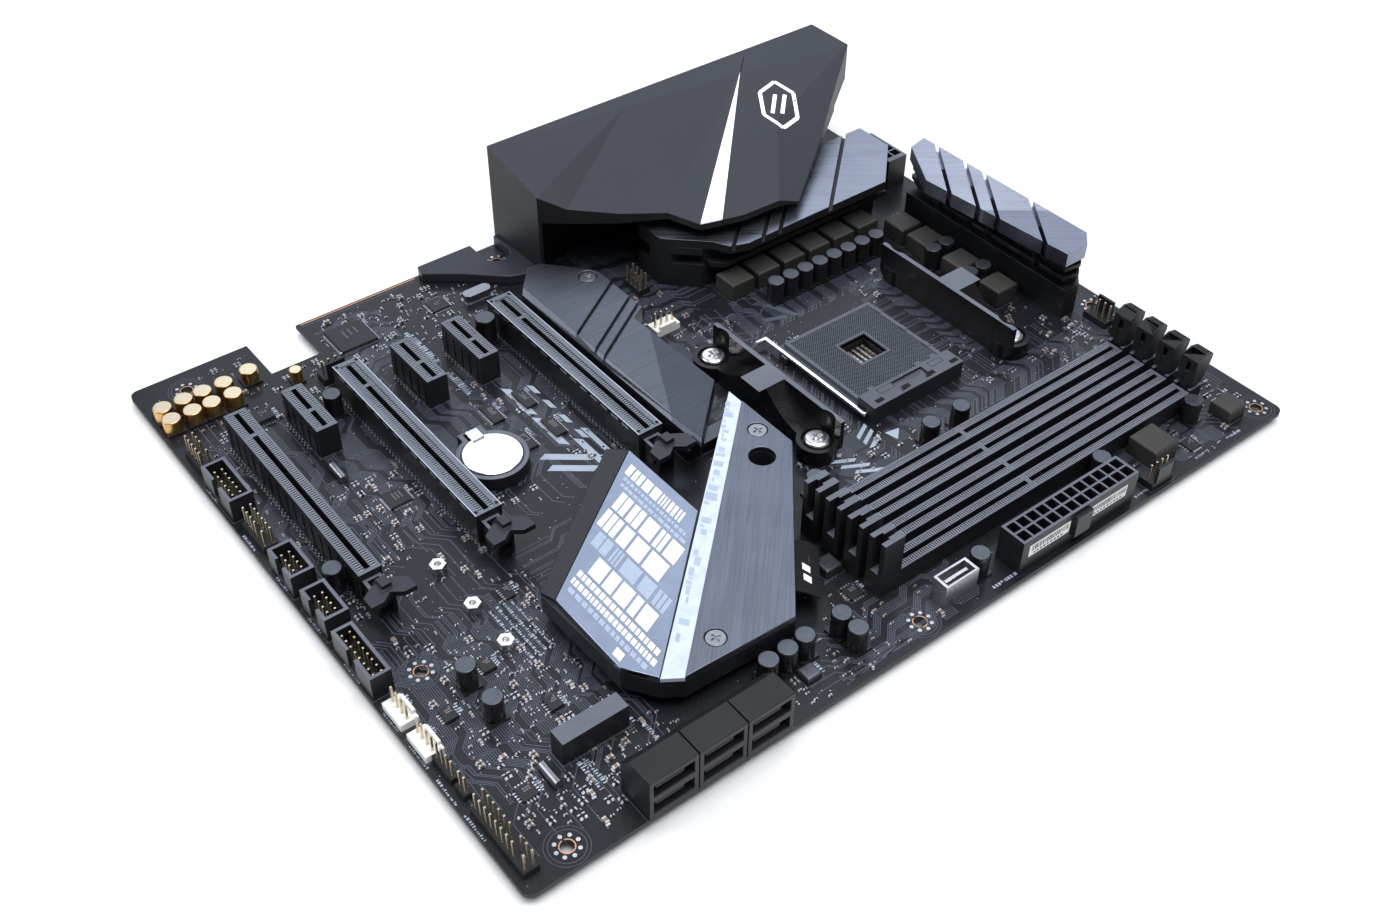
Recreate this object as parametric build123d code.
from build123d import *
import math
import os

# ATX computer motherboard, in millimetres.
# Every function draws in board coordinates: X from the rear (connector) edge to the front edge,
# Y from the bottom edge to the top edge, and Z up from the component side of the circuit board.
# save() moves each piece to the part's frame: the origin is the centre of the four outer mounting
# holes on the solder side, with X, Y and Z along the same directions.

# ---- circuit board and its mounting holes ----
BOARD_WIDTH = 244.0
BOARD_LENGTH = 305.0
BOARD_THICKNESS = 1.6
BOARD_CORNER = 3.0
NOTCH_DEPTH = 19.5
NOTCH_START = 43.5
NOTCH_END = 62.5
HOLE_RADIUS = 1.98
HOLE_FRONT_MARGIN = 6.51
HOLE_TOP_MARGIN = 6.55
HOLE_COLUMNS = (10.16, 165.1, BOARD_WIDTH - HOLE_FRONT_MARGIN)
HOLE_ROWS = (16.51, 140.97, BOARD_LENGTH - HOLE_TOP_MARGIN)
CUT = 1.0

# ---- general clearances ----
FIT_GAP = 0.3
RUN_GAP = 0.05
SEAT_GAP = 0.15

# ---- processor socket and cooler brackets ----
SOCKET_X = 137.0
SOCKET_Y = 210.5
SOCKET_WIDTH = 40.0
SOCKET_LENGTH = 41.5
SOCKET_BASE_HEIGHT = 3.0
SOCKET_COVER_HEIGHT = 1.7
SOCKET_CAVITY = 12.0
SOCKET_SLIDE = 1.0
CAM_BOX_WIDTH = 8.0
CAM_BOX_RISE = 3.8
CAM_BOX_WALL = 1.2
CRANK_LENGTH = 11.5
LEVER_DIAMETER = 1.7
LEVER_REACH = 51.0
LEVER_GAP = 0.4
LEVER_TIP = 4.5
CATCH_LENGTH = 3.0
COOLER_SPACING_X = 54.0
COOLER_SPACING_Y = 90.0
COOLER_HOLE_RADIUS = 2.2
BRACKET_LENGTH = 65.4
BRACKET_HEIGHT = 14.3
BRACKET_BACK = 6.2
BRACKET_RIDGE = 1.8
BRACKET_FRONT = 3.4
BRACKET_BOSS_RADIUS = 7.0
BRACKET_BOSS_HEIGHT = 6.0
BRACKET_SEAT_RADIUS = 5.4
BRACKET_SEAT_DEPTH = 1.6
HOOK_WIDTH = 9.6
HOOK_REACH = 3.0
HOOK_THICKNESS = 3.0
BACKPLATE_THICKNESS = 2.4
POST_RADIUS = 2.0
SCREW_RADIUS = 1.4
SCREW_HEAD_RADIUS = 4.6
SCREW_HEAD_HEIGHT = 2.4

# ---- memory slots ----
DIMM_COUNT = 4
DIMM_FIRST_X = 191.8
DIMM_PITCH = 9.525
DIMM_WIDTH = 6.8
DIMM_HEIGHT = 7.8
DIMM_START = 137.5
DIMM_SLOT_START = 144.0
DIMM_SLOT_LENGTH = 133.8
DIMM_GROOVE = 1.7
DIMM_KEY_Y = 203.5
DIMM_KEY_WIDTH = 1.6
DIMM_TOWER_HEIGHT = 21.8
DIMM_TOWER_LENGTH = 8.0
DIMM_EAR = 1.2
DIMM_LATCH_THICKNESS = 6.0
DIMM_FLOOR = 2.0
DIMM_LATCH_GAP = 0.4
DIMM_PIVOT_SETBACK = 3.0
DIMM_PIVOT_HEIGHT = 4.0
DIMM_PIVOT_RADIUS = 1.0

# ---- expansion slots ----
PCIE_PITCH = 20.32
PCIE_FIRST_Y = 20.2
PCIE_START_X = 43.5
PCIE_X16_LENGTH = 89.0
PCIE_X1_LENGTH = 25.1
PCIE_WIDTH = 7.5
PCIE_HEIGHT = 11.25
PCIE_GROOVE = 1.8
PCIE_GROOVE_DEPTH = 8.4
PCIE_KEY_OFFSET = 13.4
PCIE_KEY_WIDTH = 1.7
PCIE_X16_ROWS = (5, 2, 0)
PCIE_X1_ROWS = (4, 3, 1)
PCIE_ARMOUR_ROWS = (5, 2)
ARMOUR_THICKNESS = 0.9
ARMOUR_LIP = 1.1
PCIE_CRADLE_LENGTH = 8.5
PCIE_CRADLE_HALF = 3.0
PCIE_CRADLE_WALL = 1.1
PCIE_PIVOT_RADIUS = 0.9
PCIE_PIVOT_HEIGHT = 3.4
PCIE_PIVOT_OFFSET = 6.3
PCIE_LATCH_REACH = 14.5
PCIE_LATCH_HEIGHT = 14.5
PCIE_WING = 7.4

# ---- heatsinks ----
REAR_SINK_TOP = 20.5
TOP_SINK_TOP = 29.0
SINK_PLATE = 3.4
REAR_SINK_EDGE = 81.0
REAR_SINK_SCREWS = ((53.0, 190.0), (53.0, 270.0))
TOP_SINK_PLATE = 5.6
TOP_SINK_SCREWS = ((86.0, 292.5), (158.5, 288.5))
SINK_LEDGE = 12.0
SINK_LEDGE_THICKNESS = 2.0
SINK_FIN = 1.6
SINK_GROOVE = 1.5
SINK_SCREW_DEPTH = 8.0
SINK_SCREW_TIP = 6.0
SINK_SCREW_HEAD_RADIUS = 2.8
SINK_SCREW_HEAD_HEIGHT = 1.6
MOSFET_SIZE = 6.0
MOSFET_PITCH_REAR = 12.2
MOSFET_PITCH_TOP = 16.0
MOSFET_HEIGHT = 1.0
PAD_THICKNESS = 0.8
CHIPSET_TOP = 12.9
CHIPSET_PLATE = 2.0
CHIPSET_CHIP_HEIGHT = 1.8
CHIPSET_CHIP_SIZE = 24.0
CHIPSET_BOTTOM = 4.2
CHIPSET_CENTRE = (186.0, 102.0)
CHIPSET_SCREWS = ((154.6, 147.9), (214.5, 82.9))
CENTRE_HOLE_CLEARANCE = 4.3
STRIP_TOP_LEFT = (133.8, 153.0)
STRIP_TOP_RIGHT = (140.4, 153.0)
STRIP_LOW_RIGHT = (220.4, 67.6)
STRIP_LOW_LEFT = (216.6, 62.0)
M2_SINK_TOP = 12.9
M2_SINK_BOTTOM = 6.4
M2_SCREW = (53.6, 152.9)
FLAT_HEAD_RADIUS = 3.0
FLAT_HEAD_HEIGHT = 1.0
FLAT_SEAT_DEPTH = 1.2
FLAT_SCREW_TIP = 1.0

# ---- rear connector area ----
COVER_TOP = 42.0
COVER_EDGE = 27.0
COVER_WALL = 2.0
COVER_START = 147.5
COVER_REACH = 29.5
COVER_BOTTOM = 4.0
COVER_STRIP_THICKNESS = 0.8
SKIRT_HEIGHT = 4.0
SKIRT_HOLE_RADIUS = 5.2
SHIELD_THICKNESS = 1.0
SHIELD_GAP = 0.35
PORT_OVERHANG = 1.6
USB_A_WIDTH = 13.2
USB_A_HEIGHT = 5.6
USB_A_LEVELS = (4.2, 12.0)

# ---- power, storage and headers ----
ATX_POWER_LENGTH = 51.6
ATX_POWER_WIDTH = 9.6
POWER_HEIGHT = 12.8
EPS_POWER_LENGTH = 20.8
EPS_POWER_FRONT = 63.0
EPS_TOP_MARGIN = 3.4
POWER_PITCH = 4.2
POWER_CELL = 3.4
SATA_WIDTH = 9.0
SATA_HEIGHT = 15.6
SATA_LENGTH = 15.9
SATA_PITCH = 16.3
SATA_START = 37.7
SATA_OVERHANG = 0.4
SATA_STEP = 4.0
HEADER_PITCH = 2.54
EDGE_HEADER_BOTTOM = 1.2
EDGE_HEADER_TOP = 9.2
PIN_SIZE = 0.64
PIN_HEIGHT = 8.5
BOX_HEADER_HEIGHT = 8.6
BOX_HEADER_WALL = 1.1

# ---- discrete parts ----
CHOKE_SIZE = 10.2
CHOKE_HEIGHT = 7.0
CAP_RADIUS = 3.15
CAP_HEIGHT = 9.0
CAP_SLOT_GAP = 0.6
GOLD_CAP_HEIGHT = 5.5
COIN_RADIUS = 10.0
COIN_THICKNESS = 3.2
COIN_X = 105.4
COIN_Y = 78.8
COIN_SEAT = 2.2
HOLDER_WALL = 1.9
HOLDER_HEIGHT = 5.0

FRAME_X = (HOLE_COLUMNS[0] + HOLE_COLUMNS[2]) / 2
FRAME_Y = (HOLE_ROWS[0] + HOLE_ROWS[2]) / 2


# ---- small helpers ----
def block(x0, x1, y0, y1, z0, z1):
    """Box between two corners."""
    body = Box(x1 - x0, y1 - y0, z1 - z0, align=(Align.MIN, Align.MIN, Align.MIN))
    return Pos(x0, y0, z0) * body


def disc(x, y, z0, z1, radius):
    """Upright cylinder."""
    body = Cylinder(radius, z1 - z0, align=(Align.CENTER, Align.CENTER, Align.MIN))
    return Pos(x, y, z0) * body


def prism(points, z0, z1):
    """Upright prism on a plan outline."""
    outline = Pos(0, 0, z0) * Polygon(*points, align=None)
    return extrude(outline, z1 - z0, dir=(0, 0, 1))


def rod_x(x0, x1, y, z, radius):
    """Cylinder along X."""
    body = Cylinder(radius, x1 - x0, align=(Align.CENTER, Align.CENTER, Align.MIN))
    return Pos(x0, y, z) * Rot(0, 90, 0) * body


def rod_y(x, y0, y1, z, radius):
    """Cylinder along Y."""
    body = Cylinder(radius, y1 - y0, align=(Align.CENTER, Align.CENTER, Align.MIN))
    return Pos(x, y0, z) * Rot(-90, 0, 0) * body


def side_prism_x(points, x0, x1):
    """Prism along X on an outline given as (y, z) points."""
    outline = Plane(origin=(x0, 0, 0), x_dir=(0, 1, 0), z_dir=(1, 0, 0)) * Polygon(*points, align=None)
    return extrude(outline, x1 - x0, dir=(1, 0, 0))


def side_prism_y(points, y0, y1):
    """Prism along Y on an outline given as (x, z) points."""
    outline = Plane(origin=(0, y0, 0), x_dir=(1, 0, 0), z_dir=(0, -1, 0)) * Polygon(*points, align=None)
    return extrude(outline, y1 - y0, dir=(0, 1, 0))


def grid(xs, ys):
    """Every pair of the given X and Y values."""
    return [(x, y) for y in ys for x in xs]


def inset(points, distance):
    """Plan outline, counter-clockwise, moved inwards by a distance."""
    result = []
    count = len(points)
    for index in range(count):
        before = Vector(*points[index - 1][:2])
        here = Vector(*points[index][:2])
        after = Vector(*points[(index + 1) % count][:2])
        first = (here - before).normalized()
        second = (after - here).normalized()
        normal = Vector(-first.Y - second.Y, first.X + second.X).normalized()
        reach = distance / max(0.35, normal.dot(Vector(-first.Y, first.X)))
        result.append((here.X + normal.X * reach, here.Y + normal.Y * reach))
    return result


def faceted(top, rim_count, bottom_z, facets):
    """Closed solid under a faceted top: the rim's points come first, then the inner ones."""
    faces = []
    for facet in facets:
        faces.append(Face(Wire.make_polygon([Vector(*top[index]) for index in facet], close=True)))
    rim = [Vector(*point) for point in top[:rim_count]]
    floor = [Vector(point.X, point.Y, bottom_z) for point in rim]
    for index in range(rim_count):
        after = (index + 1) % rim_count
        wall = [rim[index], rim[after], floor[after], floor[index]]
        faces.append(Face(Wire.make_polygon(wall, close=True)))
    faces.append(Face(Wire.make_polygon(floor, close=True)))
    return Solid(Shell(faces))


def save(name, *solids):
    """Write one node, moved to the part's frame."""
    move = Pos(-FRAME_X, -FRAME_Y, BOARD_THICKNESS)
    placed = []
    for shape in solids:
        placed.extend((move * shape).solids())
    shape = placed[0] if len(placed) == 1 else Compound(placed)
    export_step(shape, os.path.join("parts", name + ".step"))


# ---- circuit board ----
def cooler_points():
    xs = (SOCKET_X - COOLER_SPACING_X / 2, SOCKET_X + COOLER_SPACING_X / 2)
    ys = (SOCKET_Y - COOLER_SPACING_Y / 2, SOCKET_Y + COOLER_SPACING_Y / 2)
    return grid(xs, ys)


def pcb():
    under = -BOARD_THICKNESS
    board = block(0, BOARD_WIDTH, 0, BOARD_LENGTH, under, 0)
    board = fillet(board.edges().filter_by(Axis.Z), BOARD_CORNER)
    board -= block(-CUT, NOTCH_DEPTH, NOTCH_START, NOTCH_END, under - CUT, CUT)
    for x, y in grid(HOLE_COLUMNS, HOLE_ROWS):
        board -= disc(x, y, under - CUT, CUT, HOLE_RADIUS)
    for x, y in cooler_points():
        board -= disc(x, y, under - CUT, CUT, COOLER_HOLE_RADIUS)
    for x, y in REAR_SINK_SCREWS + TOP_SINK_SCREWS:
        board -= disc(x, y, under - CUT, CUT, SCREW_RADIUS + RUN_GAP)
    return board


# ---- processor socket ----
def socket_limits():
    x0 = SOCKET_X - SOCKET_WIDTH / 2
    y0 = SOCKET_Y - SOCKET_LENGTH / 2
    return x0, x0 + SOCKET_WIDTH, y0, y0 + SOCKET_LENGTH


def lever_axis():
    x1 = socket_limits()[1]
    return x1 + CAM_BOX_WIDTH * 0.6, SOCKET_BASE_HEIGHT


def lever_line():
    y0 = socket_limits()[2]
    return y0 - LEVER_GAP - LEVER_DIAMETER / 2


def socket_base():
    x0, x1, y0, y1 = socket_limits()
    half = SOCKET_CAVITY / 2
    axis_x, axis_z = lever_axis()
    cam_front = x1 + CAM_BOX_WIDTH
    cam_top = SOCKET_BASE_HEIGHT + CAM_BOX_RISE
    body = block(x0, cam_front, y0, y1, 0, SOCKET_BASE_HEIGHT)
    body += block(x1, cam_front, y0, y1, SOCKET_BASE_HEIGHT, cam_top)
    cavity_top = SOCKET_BASE_HEIGHT + CUT
    body -= block(SOCKET_X - half, SOCKET_X + half, SOCKET_Y - half, SOCKET_Y + half, -CUT, cavity_top)
    third = SOCKET_LENGTH / 3
    wall = CAM_BOX_WALL
    body -= block(x1 + wall, cam_front - wall, y0 + third, y1 - third, cam_top - 1.0, cam_top + CUT)
    body -= rod_y(axis_x, y0 - CUT, y0 + CRANK_LENGTH + RUN_GAP * 10, axis_z, LEVER_DIAMETER / 2 + RUN_GAP)
    return body + lever_catch()


def lever_catch():
    """Small ledge and hook under the free end of the lever."""
    x0, x1, y0, y1 = socket_limits()
    start = x0 + CATCH_LENGTH + 1.0
    rest_z = lever_axis()[1] - LEVER_DIAMETER / 2 - 2 * RUN_GAP
    outer_y = y0 - LEVER_GAP - LEVER_DIAMETER
    ledge = block(start, start + CATCH_LENGTH, outer_y - 0.6, y0, 0, rest_z)
    hook = block(start, start + CATCH_LENGTH, outer_y - 1.0, outer_y - 0.3, 0, rest_z + 1.0)
    return ledge + hook


def socket_cover():
    x0, x1, y0, y1 = socket_limits()
    half = SOCKET_CAVITY / 2
    top = SOCKET_BASE_HEIGHT + SOCKET_COVER_HEIGHT
    body = block(x0 + 1.2, x1 - SOCKET_SLIDE * 0.4, y0 + 0.8, y1 - 0.8, SOCKET_BASE_HEIGHT, top)
    body -= block(SOCKET_X - half, SOCKET_X + half, SOCKET_Y - half, SOCKET_Y + half, 0, top + 1)
    return body


def socket_lever():
    y0 = socket_limits()[2]
    axis_x, axis_z = lever_axis()
    line_y = lever_line()
    radius = LEVER_DIAMETER / 2
    tip_x = axis_x - LEVER_REACH
    crank = rod_y(axis_x, line_y, y0 + CRANK_LENGTH, axis_z, radius)
    arm = rod_x(tip_x, axis_x, line_y, axis_z, radius)
    elbow = Pos(axis_x, line_y, axis_z) * Sphere(radius)
    knee = Pos(tip_x, line_y, axis_z) * Sphere(radius)
    tip = rod_y(tip_x, line_y - LEVER_TIP, line_y, axis_z, radius)
    return crank + arm + elbow + knee + tip


def bracket_saddle():
    """Outline in X and Z that falls in a hollow curve from the hook to a screw boss on each side."""
    post = HOOK_WIDTH / 2
    end = COOLER_SPACING_X / 2
    fall = BRACKET_HEIGHT - BRACKET_BOSS_HEIGHT
    right = [(post, BRACKET_HEIGHT)]
    steps = 8
    for step in range(1, steps + 1):
        share = step / steps
        x = post + share * (end - BRACKET_SEAT_RADIUS - post)
        right.append((x, BRACKET_BOSS_HEIGHT + fall * (1 - share) ** 2))
    right.append((end, BRACKET_BOSS_HEIGHT))
    right.append((end, 0))
    left = [(-x, z) for x, z in reversed(right)]
    return [(SOCKET_X + x, z) for x, z in right + left]


def bracket_ridge():
    """Outline in X and Z of the straight wall beside the socket."""
    half = BRACKET_LENGTH / 2
    foot = half - BRACKET_BOSS_HEIGHT / 2
    right = [(foot, 0), (half, BRACKET_BOSS_HEIGHT / 2), (half, BRACKET_HEIGHT)]
    left = [(-x, z) for x, z in reversed(right)]
    return [(SOCKET_X + x, z) for x, z in right + left]


def bracket(side):
    """Cooler bracket; side is -1 below the socket and +1 above it."""
    screw_y = SOCKET_Y + side * COOLER_SPACING_Y / 2
    seat = BRACKET_BOSS_HEIGHT - BRACKET_SEAT_DEPTH
    back = screw_y - side * BRACKET_BACK
    ridge = sorted((back, back + side * BRACKET_RIDGE))
    saddle = sorted((back, screw_y + side * BRACKET_FRONT))
    lip = sorted((screw_y, screw_y + side * (BRACKET_FRONT + HOOK_REACH)))
    body = side_prism_y(bracket_saddle(), saddle[0], saddle[1])
    body += side_prism_y(bracket_ridge(), ridge[0], ridge[1])
    hook_start = SOCKET_X - HOOK_WIDTH / 2
    hook_end = SOCKET_X + HOOK_WIDTH / 2
    body += block(hook_start, hook_end, lip[0], lip[1], BRACKET_HEIGHT - HOOK_THICKNESS, BRACKET_HEIGHT)
    for sign in (-1, 1):
        boss_x = SOCKET_X + sign * COOLER_SPACING_X / 2
        body += disc(boss_x, screw_y, 0, BRACKET_BOSS_HEIGHT, BRACKET_BOSS_RADIUS)
        body -= disc(boss_x, screw_y, seat, BRACKET_HEIGHT + CUT, BRACKET_SEAT_RADIUS)
        body -= disc(boss_x, screw_y, -CUT, BRACKET_HEIGHT, POST_RADIUS + SEAT_GAP)
    return body


def cross_recess(x, y, arm, width, z0, z1):
    """Cutter for a cross-shaped driver recess."""
    across = block(x - arm, x + arm, y - width / 2, y + width / 2, z0, z1)
    return across + block(x - width / 2, x + width / 2, y - arm, y + arm, z0, z1)


def bracket_screws():
    seat = BRACKET_BOSS_HEIGHT - BRACKET_SEAT_DEPTH
    top = seat + SCREW_HEAD_HEIGHT
    screws = []
    for x, y in cooler_points():
        head = disc(x, y, seat, top, SCREW_HEAD_RADIUS)
        head = fillet(head.edges().group_by(Axis.Z)[-1], SCREW_HEAD_HEIGHT * 0.6)
        head -= cross_recess(x, y, 2.2, 1.0, top - SCREW_HEAD_HEIGHT / 2, top + CUT)
        screws.append(head + disc(x, y, -BOARD_THICKNESS - 0.6, seat, SCREW_RADIUS))
    return screws


def backplate():
    under = -BOARD_THICKNESS
    low = under - BACKPLATE_THICKNESS
    reach_x = COOLER_SPACING_X / 2 + BRACKET_SEAT_RADIUS
    reach_y = COOLER_SPACING_Y / 2 + BRACKET_SEAT_RADIUS
    window = SOCKET_WIDTH / 2 - 2
    body = block(SOCKET_X - reach_x, SOCKET_X + reach_x, SOCKET_Y - reach_y, SOCKET_Y + reach_y, low, under)
    body = chamfer(body.edges().filter_by(Axis.Z), 8)
    body -= block(SOCKET_X - window, SOCKET_X + window, SOCKET_Y - window, SOCKET_Y + window, low - CUT, CUT)
    for x, y in cooler_points():
        body += disc(x, y, under, BRACKET_BOSS_HEIGHT - BRACKET_SEAT_DEPTH, POST_RADIUS)
        body -= disc(x, y, under - 0.6, BRACKET_HEIGHT, SCREW_RADIUS + RUN_GAP)
    return body


# ---- memory slots ----
def dimm_x(index):
    return DIMM_FIRST_X + index * DIMM_PITCH


def dimm_end():
    return DIMM_SLOT_START + DIMM_SLOT_LENGTH


def dimm_latch_limits():
    """Y range of the latch, which stands in the slot's far end."""
    start = dimm_end() + DIMM_LATCH_GAP
    return start, start + DIMM_LATCH_THICKNESS


def dimm_slot(index):
    x = dimm_x(index)
    half = DIMM_WIDTH / 2
    groove = DIMM_GROOVE / 2
    end = dimm_end()
    latch_start, latch_end = dimm_latch_limits()
    tower_end = DIMM_START + DIMM_TOWER_LENGTH
    over = DIMM_TOWER_HEIGHT + CUT
    key_start = DIMM_KEY_Y - DIMM_KEY_WIDTH / 2
    pivot_y = latch_start + DIMM_PIVOT_SETBACK
    body = block(x - half, x + half, DIMM_START, end, 0, DIMM_HEIGHT)
    body += block(x - half, x + half, DIMM_START, tower_end, DIMM_HEIGHT, DIMM_TOWER_HEIGHT)
    body -= block(x - half / 2, x + half / 2, DIMM_START - CUT, DIMM_START + 3.4, DIMM_HEIGHT + 1, over)
    body -= block(x - groove, x + groove, DIMM_SLOT_START, end + CUT, DIMM_FLOOR, over)
    body += block(x - groove, x + groove, key_start, key_start + DIMM_KEY_WIDTH, DIMM_FLOOR, DIMM_HEIGHT)
    for sign in (-1, 1):
        ear = sorted((x + sign * half, x + sign * (half - DIMM_EAR)))
        cheek = block(ear[0], ear[1], end, latch_end, 0, DIMM_HEIGHT + 0.9)
        bore = rod_x(ear[0] - CUT, ear[1] + CUT, pivot_y, DIMM_PIVOT_HEIGHT, DIMM_PIVOT_RADIUS + RUN_GAP)
        body += cheek - bore
    body += block(x - half, x + half, end, latch_end, 0, 0.8)
    return body


def dimm_latch(index):
    x = dimm_x(index)
    start, end = dimm_latch_limits()
    inner = DIMM_WIDTH / 2 - DIMM_EAR - 0.2
    half = DIMM_WIDTH / 2 - 0.1
    top = DIMM_TOWER_HEIGHT
    neck = top - 7
    pivot_y = start + DIMM_PIVOT_SETBACK
    foot = 1.4
    stem = side_prism_x(
        (
            (start + 0.4, DIMM_PIVOT_HEIGHT + 1.5), (pivot_y - foot, foot), (pivot_y + foot, foot),
            (end - 0.2, DIMM_PIVOT_HEIGHT + 1), (end, neck), (start + 0.2, neck),
        ),
        x - inner,
        x + inner,
    )
    shoulder = DIMM_HEIGHT + 2.2
    head = side_prism_x(
        (
            (start, shoulder), (end - 1, shoulder), (end + 1.8, top - 3), (end + 1.8, top - 1),
            (end - 2, top), (start, top - 1.6),
        ),
        x - half,
        x + half,
    )
    head -= block(x - DIMM_GROOVE / 2, x + DIMM_GROOVE / 2, start - CUT, start + 1.6, DIMM_HEIGHT, top - 3)
    for rib in range(4):
        rib_y = end - 2.6 + rib * 1.1
        head -= block(x - half + 0.9, x + half - 0.9, rib_y, rib_y + 0.5, top - 1.9, top + CUT)
    pin = rod_x(x - half, x + half, pivot_y, DIMM_PIVOT_HEIGHT, DIMM_PIVOT_RADIUS)
    return stem + head + pin


# ---- expansion slots ----
def pcie_y(row):
    return PCIE_FIRST_Y + row * PCIE_PITCH


def pcie_end():
    """X of the long slots' front end."""
    return PCIE_START_X + PCIE_X16_LENGTH


def pcie_body(row, length):
    y = pcie_y(row)
    x0 = PCIE_START_X
    half = PCIE_WIDTH / 2
    groove = PCIE_GROOVE / 2
    floor = PCIE_HEIGHT - PCIE_GROOVE_DEPTH
    end_wall = 1.5
    key = x0 + PCIE_KEY_OFFSET
    body = block(x0, x0 + length, y - half, y + half, 0, PCIE_HEIGHT)
    body -= block(x0 + end_wall, x0 + length - end_wall, y - groove, y + groove, floor, PCIE_HEIGHT + CUT)
    body += block(key, key + PCIE_KEY_WIDTH, y - half + 1, y + half - 1, floor - 1, PCIE_HEIGHT)
    return body


def pcie_x16(row):
    y = pcie_y(row)
    end = pcie_end()
    side = PCIE_CRADLE_HALF
    inner = side - PCIE_CRADLE_WALL
    reach = end + PCIE_CRADLE_LENGTH
    pivot_x = end + PCIE_PIVOT_OFFSET
    cradle = block(end, reach, y - side, y + side, 0, PCIE_HEIGHT - 2.5)
    cradle -= block(end + 1.0, reach + CUT, y - inner, y + inner, 1.2, PCIE_HEIGHT)
    cradle -= rod_y(pivot_x, y - side - CUT, y + side + CUT, PCIE_PIVOT_HEIGHT, PCIE_PIVOT_RADIUS + RUN_GAP)
    return pcie_body(row, PCIE_X16_LENGTH) + cradle


def pcie_latch(row):
    y = pcie_y(row)
    pivot_x = pcie_end() + PCIE_PIVOT_OFFSET
    pivot_z = PCIE_PIVOT_HEIGHT
    half = PCIE_CRADLE_HALF - PCIE_CRADLE_WALL - FIT_GAP
    nose = 3.2
    stem = side_prism_y(
        (
            (pivot_x - 2.0, pivot_z - 0.6), (pivot_x - 0.8, pivot_z - 1.8), (pivot_x + 0.8, pivot_z - 1.8),
            (pivot_x + 2.0, pivot_z), (pivot_x + 4.2, PCIE_HEIGHT - 1), (pivot_x + 4.2, PCIE_LATCH_HEIGHT),
            (pivot_x + 0.4, PCIE_LATCH_HEIGHT), (pivot_x - 2.6, PCIE_HEIGHT - 1),
        ),
        y - half,
        y + half,
    )
    pin = rod_y(pivot_x, y - PCIE_CRADLE_HALF, y + PCIE_CRADLE_HALF, pivot_z, PCIE_PIVOT_RADIUS)
    reach = pcie_end() + PCIE_LATCH_REACH
    wings = prism(
        (
            (pivot_x + 0.6, y - nose), (pivot_x + 3.4, y - PCIE_WING), (reach, y - PCIE_WING),
            (reach, y - nose), (reach - 2.4, y), (reach, y + nose), (reach, y + PCIE_WING),
            (pivot_x + 3.4, y + PCIE_WING), (pivot_x + 0.6, y + nose),
        ),
        PCIE_HEIGHT - 0.4,
        PCIE_HEIGHT + 1.6,
    )
    return stem + pin + wings


def pcie_armour(row):
    y = pcie_y(row)
    x0 = PCIE_START_X
    end = pcie_end()
    half = PCIE_WIDTH / 2
    outer = half + ARMOUR_THICKNESS
    mouth = half - ARMOUR_LIP
    sleeve = block(x0 - 1.0, end, y - outer, y + outer, 0, PCIE_HEIGHT + 0.3)
    sleeve -= block(x0, end + CUT, y - half, y + half, -CUT, PCIE_HEIGHT)
    sleeve -= block(x0 + 1.0, end - 1.0, y - mouth, y + mouth, 0, PCIE_HEIGHT + 2)
    slits = 9
    slit_top = PCIE_HEIGHT - 0.9
    pitch = (PCIE_X16_LENGTH - 8.0) / slits
    for index in range(slits):
        start = x0 + 4.0 + index * pitch
        stop = start + pitch * 2 / 3
        sleeve -= block(start, stop, y - outer - CUT, y - half - 0.1, slit_top - 0.7, slit_top)
    return sleeve


# ---- heatsinks ----
def rear_sink():
    edge = REAR_SINK_EDGE
    plate_bottom = REAR_SINK_TOP - SINK_PLATE
    back = 46.0
    start = 181.0
    end = 291.0
    plate = prism(
        (
            (back, start), (59.3, start), (72.6, 194.9), (78.6, 198.0), (edge, 205.0), (edge, 272.0),
            (edge - 18.6, end), (back, end),
        ),
        plate_bottom,
        REAR_SINK_TOP,
    )
    core_outline = ((back, start), (59.3, start), (70.0, 192.0), (70.0, 278.0), (back, 278.0))
    core = prism(core_outline, 0, plate_bottom)
    ledge = prism(
        ((60.0, 194.0), (73.0, 194.0), (76.5, 198.0), (76.5, 277.8), (60.0, 277.8)),
        SINK_LEDGE - SINK_LEDGE_THICKNESS,
        SINK_LEDGE,
    )
    body = plate + core + ledge
    body -= block(57.0, 69.0, 199.0, 277.0, -CUT, MOSFET_HEIGHT + PAD_THICKNESS)
    body -= block(62.0, 80.0, start - CUT, 193.0, 10.0, 14.0)
    body -= block(back - 2, 53.0, start - 3, end + CUT, 8.0, plate_bottom - 3.0)
    for groove_y in (196.0, 210.5, 218.5, 243.0):
        body -= rear_sink_groove(groove_y)
    for x, y in REAR_SINK_SCREWS:
        body -= disc(x, y, -CUT, SINK_SCREW_DEPTH, SCREW_RADIUS + RUN_GAP)
    return body


def rear_sink_groove(y):
    """Cutter for one slanting groove in the rear heatsink's top."""
    width = SINK_GROOVE * 1.4
    far = REAR_SINK_EDGE + 2
    near = 40.0
    low = y - 2.0
    high = y + 45.0
    outline = ((near, high), (far, low), (far, low + width), (near, high + width))
    return prism(outline, REAR_SINK_TOP - 2.2, REAR_SINK_TOP + CUT)


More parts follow.
